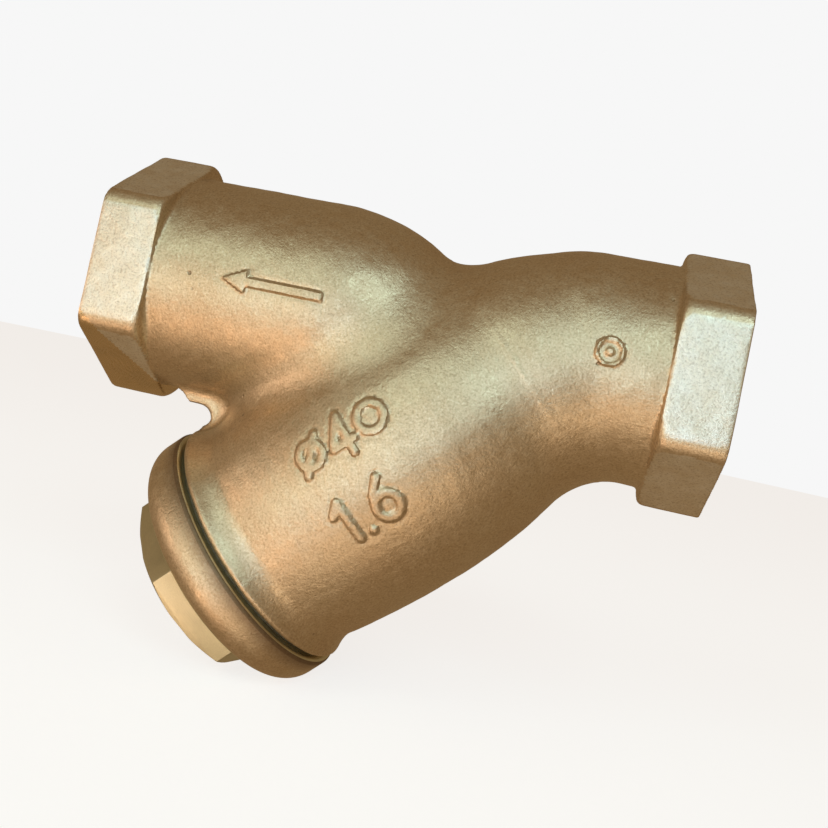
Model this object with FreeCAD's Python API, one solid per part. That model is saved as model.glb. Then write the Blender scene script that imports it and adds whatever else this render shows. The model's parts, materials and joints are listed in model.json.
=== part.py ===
import FreeCAD, Part
import math
import os

# Screwed Y strainer, DN 40. Millimetres throughout.
# The run lies along X with the inlet end face in the plane X = 0 and the outlet at -X.
# The branch leaves the run downwards and towards the outlet, in the plane Y = 0.
# Z is up. Lengths along the run are measured from the inlet face towards the outlet,
# and lengths along the branch from the point where the two centre lines cross.

# ---- driving sizes ---------------------------------------------------------------------
FACE_TO_FACE = 155.0        # inlet end face to outlet end face
BRANCH_LENGTH = 87.6        # crossing of the centre lines to the sealing face of the branch
BRANCH_ANGLE = 45.0         # between the run and the branch, degrees
PIPE_CREST_RADIUS = 22.4225 # wall of the pipe threads (1 1/2 inch parallel, 11 per inch)
SCREEN_RADIUS = 22.5        # outside of the screen tube
THREAD_PITCH = 2.309        # shared by the pipe threads and the cap thread

# ---- cast walls and run ----------------------------------------------------------------
WALL = 4.0
CROSSING = 0.279 * FACE_TO_FACE
PIPE_THREAD_DEPTH = 1.479
HEX_WALL = 4.0985           # from the root of the pipe thread to a flat
HEX_FLATS = 2.0 * (PIPE_CREST_RADIUS + PIPE_THREAD_DEPTH + HEX_WALL)
PIPE_BORE_RADIUS = PIPE_CREST_RADIUS - 2.4225
HEX_LENGTH = 16.0
HEX_CORNER_RADIUS = HEX_FLATS / math.sqrt(3.0)
HEX_EDGE_TRIM = 0.5         # cast corners are rounded off by this much
HEX_ROUND = 1.3             # round on the corners at each end of the hexagon
RUN_RADIUS = 0.49 * HEX_FLATS
WAIST_RADIUS = 0.6 * RUN_RADIUS
WAIST_VALLEY = 10.0         # radius of the hollow at the waist
DOME_RADIUS = 50.0          # radius of the shoulders either side of the waist
CREASE_ROUND = 8.0          # cast round where the run meets the branch
RUN_OVERLAP = 5.0           # how far the round run reaches into each hexagon

# ---- pipe threads ----------------------------------------------------------------------
PIPE_THREAD_LENGTH = 20.0
PIPE_GROOVE_MOUTH = 1.05    # axial width of the groove at the crests
PIPE_GROOVE_ROOT = 0.35
PIPE_LAND = 1.3             # plain length at each end of the thread
PIPE_LEAD = 0.4             # flare at the mouth
GROOVE_OVERLAP = 0.25       # grooves start this far inside the wall they are cut in

# ---- screen ----------------------------------------------------------------------------
SHEET = 0.6                 # perforated sheet
MESH_SHEET = 0.3            # woven liner
RING_SHEET = 0.8
RING_HEIGHT = 5.0
HOLE_RADIUS = 2.0
HOLES_AROUND = 18
SEAT_LEDGE = 3.0            # ledge that the top of the screen lands on
SEAT_DEPTH = 6.0            # socket that holds the top of the screen
SEAT_START = 10.0           # from the crossing, along the branch
STRIP_HALF_ANGLE = 10.0     # lap strip over the seam of the sheet
STRIP_SIDE = 40.0           # where the strip lies round the screen, degrees
RUNNING_GAP = 0.3           # between the screen and what it slides in

# ---- cap thread ------------------------------------------------------------------------
CAP_SPIGOT_WALL = 2.3
CAP_POCKET_RADIUS = SCREEN_RADIUS + RUNNING_GAP
CAP_ROOT_RADIUS = CAP_POCKET_RADIUS + CAP_SPIGOT_WALL
CAP_CREST_RADIUS = CAP_ROOT_RADIUS + 1.55
BORE_CREST_RADIUS = CAP_ROOT_RADIUS + 0.3
BORE_ROOT_RADIUS = CAP_CREST_RADIUS + 0.3
CAP_RIDGE_BASE = 1.05
CAP_RIDGE_TIP = 0.45
CAP_FLANK_GAP = 0.27        # axial gap on each flank
CAP_SPIGOT_LENGTH = 15.6
CAP_LEAD = 1.2              # chamfer on the first thread of the spigot
RELIEF_LENGTH = THREAD_PITCH + 0.091  # plain length at the root; the ridge runs out in it
THREAD_RELIEF_RADIUS = BORE_ROOT_RADIUS + 0.2

# ---- branch ----------------------------------------------------------------------------
SEAT_OUTER_RADIUS = CAP_POCKET_RADIUS + WALL
CHAMBER_RADIUS = BORE_ROOT_RADIUS + 2.6
BARREL_RADIUS = CHAMBER_RADIUS + WALL + 0.2
NECK_RADIUS = BORE_ROOT_RADIUS + 4.3
RIM_RADIUS = NECK_RADIUS + 2.0
BARREL_WIDEST = 46.0 / 87.6 * BRANCH_LENGTH
BARREL_TOP_SWEEP = 130.0    # radius of the barrel's side above its widest point
DOME_CENTRE = 16.0          # centre of the round top of the barrel
NECK_END = 7.6              # from the sealing face back to the end of the taper
RIM_START = 3.4
RIM_ROUND = 1.8
WAIST = CROSSING + 1.044 * SCREEN_RADIUS

# ---- cap -------------------------------------------------------------------------------
GASKET_THICKNESS = 1.0
GASKET_INNER = THREAD_RELIEF_RADIUS + 0.3
GASKET_OUTER = RIM_RADIUS - 1.2
FLANGE_RADIUS = RIM_RADIUS + 0.7
FLANGE_HEIGHT = 12.2
FLANGE_ROUND = 7.4          # outer shoulder
FLANGE_UNDER_ROUND = 2.4    # shoulder next to the gasket
CAP_HEX_FLATS = 43.6 / 34.0 * FLANGE_RADIUS
CAP_HEX_HEIGHT = 8.5
CAP_HEX_TURN = 10.0         # rest position of the cap's corners, degrees
CAP_HEX_CHAMFER = 30.0
POCKET_DEPTH = 4.9          # beyond the flange's underside
CAP_SUMP_RADIUS = SCREEN_RADIUS - 5.0
CAP_CROWN = 7.0             # thickness left under the head

# ---- web and marks ---------------------------------------------------------------------
WEB_THICKNESS = 9.0
CROTCH_LENGTH = ((RUN_RADIUS + NECK_RADIUS * math.cos(math.radians(BRANCH_ANGLE)))
                 / math.sin(math.radians(BRANCH_ANGLE)))  # crossing to crotch, along the branch
WEB_REACH = 0.8666 * (BRANCH_LENGTH - CROTCH_LENGTH)  # crotch to the centre of the web's edge
WEB_LEAN = 0.6 * BRANCH_ANGLE
WEB_EDGE_GAP = 0.9
WEB_OVERLAP = 0.5           # how far the web's upper arm reaches into the outlet hexagon
MARK_HEIGHT = 0.7           # raised marks stand this proud
MARK_STROKE = 1.5
MARK_SIZE = 9.5
MARK_START = 0.685 * BRANCH_LENGTH
MARK_LINE_ONE = -3.4
MARK_LINE_TWO = 13.4
ARROW_LENGTH = 25.0
ARROW_SHAFT = 1.4           # half the width of the shaft
ARROW_BARB = 3.2            # half the width of the head
ARROW_HEAD = 5.5
ARROW_RISE = 1.0            # above the centre line of the run
ARROW_TAIL = 0.62 * FACE_TO_FACE
CAST_DOT_PLACE = 29.3
CAST_DOT_RISE = 1.9
CAST_DOT_RADIUS = 1.0
CAST_RING_RADIUS = 2.9
CAST_RING_STROKE = 0.9

V = FreeCAD.Vector
LEAN = math.radians(BRANCH_ANGLE)
# Each line is (start point, direction, sideways direction).
RUN = (V(0, 0, 0), V(-1, 0, 0), V(0, 0, 1))
BRANCH = (V(-CROSSING, 0, 0), V(-math.cos(LEAN), 0, -math.sin(LEAN)),
          V(math.sin(LEAN), 0, -math.cos(LEAN)))


def at(line, along, out):
    """Point at a distance along a centre line and out from it, in the plane Y = 0."""
    return line[0] + line[1] * along + line[2] * out


def revolved(line, start, *moves):
    """Turn an outline of (along, out) points; a move holding two points is an arc."""
    edges = []
    here = at(line, *start)
    first = here
    for move in moves:
        if isinstance(move[0], tuple):
            there = at(line, *move[1])
            edges.append(Part.Arc(here, at(line, *move[0]), there).toShape())
        else:
            there = at(line, *move)
            edges.append(Part.makeLine(here, there))
        here = there
    edges.append(Part.makeLine(here, first))
    face = Part.Face(Part.Wire(edges))
    return face.revolve(line[0], line[1], 360)


def ring(line, start, end, inner, outer):
    """Plain ring or, with no inner radius, a plain cylinder."""
    return revolved(line, (start, inner), (start, outer), (end, outer), (end, inner))


def bend(centre, start, end):
    """Arc move about a centre, from one (along, out) point to another."""
    radius = math.dist(centre, start)
    mid = ((start[0] + end[0]) / 2.0 - centre[0], (start[1] + end[1]) / 2.0 - centre[1])
    reach = radius / math.hypot(mid[0], mid[1])
    return ((centre[0] + mid[0] * reach, centre[1] + mid[1] * reach), end)


def between(start, end, part):
    return (start[0] + (end[0] - start[0]) * part, start[1] + (end[1] - start[1]) * part)


def helical_solid(line, start, end, pitch, section):
    """Sweep a closed (along, out) section along a right-hand helix about the line."""
    radius = section[0][1]
    helix = Part.makeHelix(pitch, end - start, radius)
    points = [V(out, 0, along) for along, out in section]
    profile = Part.makePolygon(points + points[:1])
    sweep = Part.BRepOffsetAPI.MakePipeShell(Part.Wire(helix.Edges))
    sweep.setFrenetMode(True)
    sweep.add(profile)
    sweep.build()
    sweep.makeSolid()
    solid = sweep.shape()
    turn = FreeCAD.Rotation(V(0, 0, 1), line[1])
    solid.Placement = FreeCAD.Placement(at(line, start, 0), turn)
    return solid


def hexagon(line, start, end, flats, turn):
    """Hexagonal prism; with no turn one corner lies on the line's sideways direction."""
    corner = flats / math.sqrt(3.0)
    cross = line[1].cross(line[2])
    points = []
    for step in range(7):
        angle = math.radians(turn + 60.0 * step)
        spoke = line[2] * math.cos(angle) + cross * math.sin(angle)
        points.append(at(line, start, 0) + spoke * corner)
    face = Part.Face(Part.makePolygon(points))
    return face.extrude(line[1] * (end - start))


# ---- body: outside ---------------------------------------------------------------------
def run_outside(proud=0.0):
    """Round run from hexagon to hexagon, drawn in to a waist above the screen seat."""
    outer = RUN_RADIUS + proud
    dome = DOME_RADIUS + proud
    valley = WAIST_VALLEY - proud
    drop = RUN_RADIUS - WAIST_RADIUS
    spread = math.sqrt(2.0 * drop * (dome + valley) - drop * drop)
    low = (WAIST, WAIST_RADIUS + proud + valley)
    bottom = (WAIST, WAIST_RADIUS + proud)
    near = (WAIST - spread, outer - dome)
    far = (WAIST + spread, outer - dome)
    near_meet = between(near, low, dome / (dome + valley))
    far_meet = between(far, low, dome / (dome + valley))
    return revolved(RUN, (RUN_OVERLAP, 0), (RUN_OVERLAP, outer), (near[0], outer),
                    bend(near, (near[0], outer), near_meet),
                    bend(low, near_meet, bottom),
                    bend(low, bottom, far_meet),
                    bend(far, far_meet, (far[0], outer)),
                    (FACE_TO_FACE - RUN_OVERLAP, outer), (FACE_TO_FACE - RUN_OVERLAP, 0))


def barrel_outside(proud=0.0):
    """Branch barrel: round top, full sides, tapered neck and a rim at the sealing face."""
    widest = (BARREL_WIDEST, BARREL_RADIUS + proud)
    sweep = BARREL_TOP_SWEEP + proud
    side_centre = (BARREL_WIDEST, widest[1] - sweep)
    dome = sweep - math.hypot(BARREL_WIDEST - DOME_CENTRE, side_centre[1])
    shoulder = between((DOME_CENTRE, 0), side_centre,
                       -dome / math.hypot(BARREL_WIDEST - DOME_CENTRE, side_centre[1]))
    top = (DOME_CENTRE - dome, 0)
    neck = (BRANCH_LENGTH - NECK_END, NECK_RADIUS + proud)
    half = (neck[0] - widest[0]) / 2.0
    taper = widest[1] - neck[1]
    low_sweep = (4.0 * half * half + taper * taper) / (2.0 * taper)
    low_centre = (BARREL_WIDEST, widest[1] - low_sweep)
    rim = (BRANCH_LENGTH - RIM_START, RIM_RADIUS + proud)
    edge = BRANCH_LENGTH - RIM_ROUND
    return revolved(BRANCH, top,
                    bend((DOME_CENTRE, 0), top, shoulder),
                    bend(side_centre, shoulder, widest),
                    bend(low_centre, widest, neck),
                    rim, (edge, rim[1]),
                    bend((edge, rim[1] - RIM_ROUND), (edge, rim[1]),
                         (BRANCH_LENGTH, rim[1] - RIM_ROUND)),
                    (BRANCH_LENGTH, 0))


def end_hexagon(start):
    """Cast hexagon with its corners rounded off at both ends."""
    prism = hexagon(RUN, start, start + HEX_LENGTH, HEX_FLATS, 0)
    trim = HEX_EDGE_TRIM
    corner = HEX_CORNER_RADIUS - trim
    end = start + HEX_LENGTH
    low = corner - HEX_ROUND
    guard = revolved(RUN, (start, 0), (start, low),
                     bend((start + HEX_ROUND, low), (start, low), (start + HEX_ROUND, corner)),
                     (end - HEX_ROUND, corner),
                     bend((end - HEX_ROUND, low), (end - HEX_ROUND, corner), (end, low)),
                     (end, 0))
    return prism.common(guard)


def web():
    """Plate that fills the crotch between outlet and branch, with a hollow round edge."""
    half = LEAN / 2.0
    lean = math.radians(WEB_LEAN)
    crotch = at(BRANCH, CROTCH_LENGTH, -NECK_RADIUS)
    outward = V(-math.cos(lean), 0, -math.sin(lean))
    eye = crotch + outward * WEB_REACH
    radius = WEB_REACH * math.sin(half) - WEB_EDGE_GAP
    up = V(0, 0, radius)
    down = BRANCH[2] * radius
    shoulder = -(FACE_TO_FACE - HEX_LENGTH) - WEB_OVERLAP
    plate = upright_plate([crotch - outward * radius, V(shoulder, 0, (eye + up * 1.4).z),
                           V(shoulder, 0, (eye + up).z), eye + down * 1.5 + BRANCH[1]],
                          WEB_THICKNESS)
    past = 2.0 * abs(shoulder - eye.x)
    mouth = upright_plate([eye, eye + up, eye + up + RUN[1] * past,
                           eye + down + BRANCH[1] * past, eye + down],
                          WEB_THICKNESS * 2.0)
    hollow = Part.makeCylinder(radius, WEB_THICKNESS * 2.0, eye - V(0, WEB_THICKNESS, 0),
                               V(0, 1, 0))
    return plate.cut([hollow, mouth])


def upright_plate(corners, thickness):
    """Flat plate lying in the plane Y = 0, centred on it."""
    shift = V(0, -thickness / 2.0, 0)
    face = Part.Face(Part.makePolygon([point + shift for point in corners + corners[:1]]))
    return face.extrude(V(0, thickness, 0))


# ---- body: raised marks ----------------------------------------------------------------
def stroke(points, width):
    """Round-ended stroke through flat points, as a prism standing along Y."""
    solids = []
    depth = V(0, HEX_FLATS, 0)
    for point in points:
        solids.append(Part.makeCylinder(width / 2.0, HEX_FLATS, point, V(0, 1, 0)))
    for start, end in zip(points, points[1:]):
        side = (end - start).cross(V(0, 1, 0)).normalize() * (width / 2.0)
        corners = [start + side, end + side, end - side, start - side, start + side]
        solids.append(Part.Face(Part.makePolygon(corners)).extrude(depth))
    return solids[0].fuse(solids[1:]) if solids[1:] else solids[0]


def mark_ring(centre, radius, width):
    """Raised ring, a little wider than a stroke so that strokes can end inside it."""
    outer = Part.makeCylinder(radius + width / 2.0, HEX_FLATS, centre, V(0, 1, 0))
    return outer.cut(Part.makeCylinder(radius - width / 2.0, HEX_FLATS, centre, V(0, 1, 0)))


def size_marks():
    """Nominal bore above nominal pressure, reading up the barrel towards the inlet."""
    size = MARK_SIZE
    across = BRANCH[1] * -size
    upright = BRANCH[2] * -size

    def glyph(corner, strokes):
        made = []
        for points in strokes:
            flat = [corner + across * x + upright * y for x, y in points]
            made.append(stroke(flat, MARK_STROKE))
        return made

    lift = V(0, -HEX_FLATS, 0)
    first = at(BRANCH, MARK_START, MARK_LINE_ONE) + lift
    second = at(BRANCH, MARK_START, MARK_LINE_TWO) + lift
    bore = [mark_ring(first + across * 0.3 + upright * 0.5, 0.3 * size, MARK_STROKE + 0.3)]
    bore += glyph(first, [[(0.0, 0.1), (0.6, 0.9)]])
    bore += glyph(first + across * 0.85, [[(0.42, 0), (0.42, 1), (0, 0.3), (0.6, 0.3)]])
    bore += [mark_ring(first + across * 2.0 + upright * 0.5, 0.34 * size, MARK_STROKE + 0.3)]
    load = glyph(second, [[(0, 0.75), (0.25, 1), (0.25, 0)]])
    load += glyph(second + across * 0.62, [[(0, 0)]])
    load += [mark_ring(second + across * 1.25 + upright * 0.3, 0.3 * size, MARK_STROKE + 0.3)]
    load += glyph(second + across * 0.95, [[(0, 0.3), (0.12, 0.68), (0.42, 1)]])
    return bore + load


def flow_arrow():
    """Raised arrow on the outlet side, pointing with the flow."""
    tail = V(-ARROW_TAIL, -HEX_FLATS, ARROW_RISE)
    neck = ARROW_LENGTH - ARROW_HEAD
    flat = [(0, ARROW_SHAFT), (neck, ARROW_SHAFT), (neck, ARROW_BARB), (ARROW_LENGTH, 0),
            (neck, -ARROW_BARB), (neck, -ARROW_SHAFT), (0, -ARROW_SHAFT), (0, ARROW_SHAFT)]
    points = [tail + V(-along, 0, up) for along, up in flat]
    return Part.Face(Part.makePolygon(points)).extrude(V(0, HEX_FLATS, 0))


def run_marks():
    """Flow arrow, and a ring with a dot beside the inlet."""
    centre = V(-CAST_DOT_PLACE, -HEX_FLATS, CAST_DOT_RISE)
    dot = Part.makeCylinder(CAST_DOT_RADIUS, HEX_FLATS, centre, V(0, 1, 0))
    return [flow_arrow(), mark_ring(centre, CAST_RING_RADIUS, CAST_RING_STROKE), dot]


# ---- body: inside ----------------------------------------------------------------------
def inlet_way():
    """From the pipe thread round the elbow into the socket for the top of the screen."""
    radius = PIPE_BORE_RADIUS
    bore = revolved(RUN, (PIPE_THREAD_LENGTH - 1.0, 0), (PIPE_THREAD_LENGTH - 1.0, radius),
                    (CROSSING, radius),
                    bend((CROSSING, 0), (CROSSING, radius), (CROSSING + radius, 0)))
    throat = ring(BRANCH, 0, SEAT_START + 1.0, 0, SCREEN_RADIUS - SEAT_LEDGE)
    socket = ring(BRANCH, SEAT_START, SEAT_START + SEAT_DEPTH + 2.5, 0, CAP_POCKET_RADIUS)
    return bore.fuse([throat, socket])


def chamber():
    """Space round the screen, following the barrel's wall down to the cap thread."""
    start = SEAT_START + SEAT_DEPTH + 2.0
    thread = BRANCH_LENGTH - CAP_SPIGOT_LENGTH - 2.0
    swell = (BARREL_WIDEST, CHAMBER_RADIUS)
    entry = (start, CHAMBER_RADIUS - 2.6)
    leave = (thread - 2.0, BORE_ROOT_RADIUS + 0.6)
    return revolved(BRANCH, (start, 0), entry, swell, leave, (thread, BORE_CREST_RADIUS),
                    (thread, 0))


def outlet_way():
    """From the chamber up into the outlet bore, keeping the wall under the waist."""
    outer = PIPE_BORE_RADIUS
    dome = DOME_RADIUS - WALL
    sink = outer - (WAIST_RADIUS - WALL)
    knee = WAIST + math.sqrt(2.0 * dome * sink - sink * sink)
    centre = (knee, outer - dome)
    low = (WAIST, outer - sink)
    way = revolved(RUN, (WAIST, 0), low, bend(centre, low, (knee, outer)),
                   (FACE_TO_FACE - PIPE_THREAD_LENGTH + 1.0, outer),
                   (FACE_TO_FACE - PIPE_THREAD_LENGTH + 1.0, 0))
    seat_wall = ring(BRANCH, -BARREL_RADIUS, SEAT_START + SEAT_DEPTH + 2.0, 0,
                     SEAT_OUTER_RADIUS)
    return way.cut(seat_wall)


def pipe_thread(line, mouth, inward):
    """Threaded bore of a pipe end: plain wall, helical groove and a small lead-in."""
    inner = mouth + inward * PIPE_THREAD_LENGTH
    low, high = min(mouth, inner), max(mouth, inner)
    wall = ring(line, low, high, 0, PIPE_CREST_RADIUS)
    lead = inward * PIPE_LEAD
    flare = revolved(line, (mouth, 0), (mouth, PIPE_CREST_RADIUS + PIPE_LEAD),
                     (mouth + lead, PIPE_CREST_RADIUS), (mouth + lead, 0))
    mouth_half = PIPE_GROOVE_MOUTH / 2.0
    root_half = PIPE_GROOVE_ROOT / 2.0
    wider = mouth_half + GROOVE_OVERLAP * (mouth_half - root_half) / PIPE_THREAD_DEPTH
    low_out = PIPE_CREST_RADIUS - GROOVE_OVERLAP
    deep_out = PIPE_CREST_RADIUS + PIPE_THREAD_DEPTH
    section = [(-wider, low_out), (wider, low_out), (root_half, deep_out),
               (-root_half, deep_out)]
    groove = helical_solid(line, low + PIPE_LAND, high - PIPE_LAND, THREAD_PITCH, section)
    return wall.fuse([flare, groove])


def cap_bore():
    """Female thread for the cap, with a plain relief at the sealing face."""
    inner = BRANCH_LENGTH - CAP_SPIGOT_LENGTH - 2.5
    wall = ring(BRANCH, inner, BRANCH_LENGTH + 1.0, 0, BORE_CREST_RADIUS)
    relief = revolved(BRANCH, (BRANCH_LENGTH - RELIEF_LENGTH, 0),
                      (BRANCH_LENGTH - RELIEF_LENGTH, BORE_CREST_RADIUS),
                      (BRANCH_LENGTH - 1.2, THREAD_RELIEF_RADIUS),
                      (BRANCH_LENGTH + 1.0, THREAD_RELIEF_RADIUS), (BRANCH_LENGTH + 1.0, 0))
    slope = (CAP_RIDGE_BASE - CAP_RIDGE_TIP) / 2.0 / (CAP_CREST_RADIUS - CAP_ROOT_RADIUS)
    low_out = BORE_CREST_RADIUS - GROOVE_OVERLAP
    low_half = (CAP_RIDGE_BASE / 2.0 + CAP_FLANK_GAP
                - slope * (low_out - CAP_ROOT_RADIUS))
    deep_half = (CAP_RIDGE_BASE / 2.0 + CAP_FLANK_GAP
                 - slope * (BORE_ROOT_RADIUS - CAP_ROOT_RADIUS))
    section = [(-low_half, low_out), (low_half, low_out), (deep_half, BORE_ROOT_RADIUS),
               (-deep_half, BORE_ROOT_RADIUS)]
    start = thread_phase(inner - 1.0)
    groove = helical_solid(BRANCH, start, BRANCH_LENGTH - 1.0, THREAD_PITCH, section)
    return wall.fuse([relief, groove])


def thread_phase(near):
    """Nearest place, at or before a distance, where the cap thread passes the same side."""
    turns = math.floor((near - BRANCH_LENGTH) / THREAD_PITCH)
    return BRANCH_LENGTH + turns * THREAD_PITCH


def rounded_union(first, second, radius):
    """Fuse two solids and fill the hollow edge where their skins meet with a round."""
    union = first.fuse(second)
    crease = []
    for edge in union.Edges:
        middle = Part.Vertex(edge.valueAt((edge.FirstParameter + edge.LastParameter) / 2.0))
        if all(touches(solid, middle) for solid in (first, second)):
            crease.append(edge)
    return union.makeFillet(radius, crease)


def touches(solid, vertex):
    return min(face.distToShape(vertex)[0] for face in solid.Faces) < 1e-3


def valve_body():
    outside = rounded_union(run_outside(), barrel_outside(), CREASE_ROUND)
    outside = outside.fuse([end_hexagon(0), end_hexagon(FACE_TO_FACE - HEX_LENGTH), web()])
    barrel_skin = barrel_outside(MARK_HEIGHT)
    run_skin = run_outside(MARK_HEIGHT)
    marks = [mark.common(barrel_skin) for mark in size_marks()]
    marks += [mark.common(run_skin) for mark in run_marks()]
    solid = outside.fuse(marks)
    solid = solid.cut([inlet_way(), chamber(), outlet_way()])
    for thread in (pipe_thread(RUN, 0.0, 1), pipe_thread(RUN, FACE_TO_FACE, -1), cap_bore()):
        solid = solid.cut(thread)
    return solid


# ---- cap -------------------------------------------------------------------------------
def cap_thread(solid, tip, root):
    """Cut the helical space between ridges out of the spigot."""
    slope = (CAP_RIDGE_BASE - CAP_RIDGE_TIP) / 2.0 / (CAP_CREST_RADIUS - CAP_ROOT_RADIUS)
    over = 0.3
    root_half = (THREAD_PITCH - CAP_RIDGE_BASE) / 2.0
    tip_half = (THREAD_PITCH - CAP_RIDGE_TIP) / 2.0 + slope * over
    section = [(-root_half, CAP_ROOT_RADIUS), (root_half, CAP_ROOT_RADIUS),
               (tip_half, CAP_CREST_RADIUS + over), (-tip_half, CAP_CREST_RADIUS + over)]
    start = thread_phase(tip - THREAD_PITCH) + THREAD_PITCH / 2.0
    return solid.cut(helical_solid(BRANCH, start, root, THREAD_PITCH, section))


def cap():
    under = BRANCH_LENGTH + GASKET_THICKNESS
    tip = BRANCH_LENGTH - CAP_SPIGOT_LENGTH
    root = BRANCH_LENGTH - RELIEF_LENGTH + 1.0
    spigot = revolved(BRANCH, (tip, 0), (tip, CAP_CREST_RADIUS - CAP_LEAD),
                      (tip + CAP_LEAD, CAP_CREST_RADIUS), (root, CAP_CREST_RADIUS),
                      (root, CAP_ROOT_RADIUS - 0.1), (under, CAP_ROOT_RADIUS - 0.1),
                      (under, 0))
    spigot = cap_thread(spigot, tip, root + THREAD_PITCH)
    top = under + FLANGE_HEIGHT
    small, large = FLANGE_UNDER_ROUND, FLANGE_ROUND
    flange = revolved(BRANCH, (under, 0), (under, FLANGE_RADIUS - small),
                      bend((under + small, FLANGE_RADIUS - small),
                           (under, FLANGE_RADIUS - small), (under + small, FLANGE_RADIUS)),
                      (top - large, FLANGE_RADIUS),
                      bend((top - large, FLANGE_RADIUS - large),
                           (top - large, FLANGE_RADIUS), (top, FLANGE_RADIUS - large)),
                      (top, 0))
    crown = top + CAP_HEX_HEIGHT
    head = hexagon(BRANCH, top - 1.0, crown, CAP_HEX_FLATS, 90.0 + CAP_HEX_TURN)
    corner = CAP_HEX_FLATS / math.sqrt(3.0)
    face_radius = CAP_HEX_FLATS / 2.0 + 0.3
    fall = (corner + 1.0 - face_radius) * math.tan(math.radians(CAP_HEX_CHAMFER))
    guard = revolved(BRANCH, (top - 1.0, 0), (top - 1.0, corner + 1.0),
                     (crown - fall, corner + 1.0), (crown, face_radius), (crown, 0))
    head = head.common(guard)
    pocket = ring(BRANCH, tip - 1.0, under + POCKET_DEPTH, 0, CAP_POCKET_RADIUS)
    sump = ring(BRANCH, tip - 1.0, crown - CAP_CROWN, 0, CAP_SUMP_RADIUS)
    return flange.fuse([spigot, head]).cut([pocket, sump])


def cap_gasket():
    return ring(BRANCH, BRANCH_LENGTH, BRANCH_LENGTH + GASKET_THICKNESS, GASKET_INNER,
                GASKET_OUTER)


# ---- screen ----------------------------------------------------------------------------
SCREEN_END = BRANCH_LENGTH + GASKET_THICKNESS + POCKET_DEPTH


def screen_tube():
    """Perforated sheet rolled into a tube, with staggered rows of holes."""
    tube = ring(BRANCH, SEAT_START, SCREEN_END, SCREEN_RADIUS - SHEET, SCREEN_RADIUS)
    cross = BRANCH[1].cross(BRANCH[2])
    step = 360.0 / HOLES_AROUND
    row_step = math.radians(step) * SCREEN_RADIUS * math.sqrt(3.0) / 2.0
    first = SEAT_START + SEAT_DEPTH + 2.0 + 2.0 * HOLE_RADIUS
    last = BRANCH_LENGTH - CAP_SPIGOT_LENGTH - 2.0 * HOLE_RADIUS
    rows = int((last - first) / row_step) + 1
    holes = []
    for row in range(rows):
        centre = at(BRANCH, first + row * row_step, 0)
        for place in range(HOLES_AROUND):
            turn = step * (place + 0.5 * (row % 2))
            if abs((turn - STRIP_SIDE + 180.0) % 360.0 - 180.0) < STRIP_HALF_ANGLE + step / 2.0:
                continue
            angle = math.radians(turn)
            spoke = BRANCH[2] * math.cos(angle) + cross * math.sin(angle)
            foot = centre + spoke * (SCREEN_RADIUS - 3.0 * SHEET)
            holes.append(Part.makeCylinder(HOLE_RADIUS, 6.0 * SHEET, foot, spoke))
    return tube.cut(holes)


def mesh_liner():
    outer = SCREEN_RADIUS - SHEET
    return ring(BRANCH, SEAT_START + 0.5, SCREEN_END - 0.5, outer - MESH_SHEET, outer)


def screen_ring(start):
    outer = SCREEN_RADIUS - SHEET - MESH_SHEET
    return ring(BRANCH, start, start + RING_HEIGHT, outer - RING_SHEET, outer)


def seam_strip():
    """Strip spot-welded over the butt seam of the sheet."""
    start = SEAT_START + SEAT_DEPTH + 3.0
    end = BRANCH_LENGTH - CAP_SPIGOT_LENGTH - 3.0
    whole = ring(BRANCH, start, end, SCREEN_RADIUS, SCREEN_RADIUS + SHEET)
    cross = BRANCH[1].cross(BRANCH[2])
    corners = [at(BRANCH, start, 0)]
    for angle in (STRIP_SIDE - STRIP_HALF_ANGLE, STRIP_SIDE + STRIP_HALF_ANGLE):
        turn = math.radians(angle)
        spoke = BRANCH[2] * math.cos(turn) + cross * math.sin(turn)
        corners.append(at(BRANCH, start, 0) + spoke * SCREEN_RADIUS * 2.0)
    wedge = Part.Face(Part.makePolygon(corners + corners[:1]))
    return whole.common(wedge.extrude(BRANCH[1] * (end - start)))


NODES = {
    "valve_body": valve_body,
    "cap": cap,
    "cap_gasket": cap_gasket,
    "screen_tube": screen_tube,
    "mesh_liner": mesh_liner,
    "screen_top_ring": lambda: screen_ring(SEAT_START),
    "screen_bottom_ring": lambda: screen_ring(SCREEN_END - RING_HEIGHT),
    "seam_strip": seam_strip,
}

os.makedirs("parts", exist_ok=True)
for name, make in NODES.items():
    make().exportStep("parts/" + name + ".step")
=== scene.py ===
import json
import math
import bmesh
import bpy
import numpy as np
from mathutils import Matrix, Vector


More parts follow.
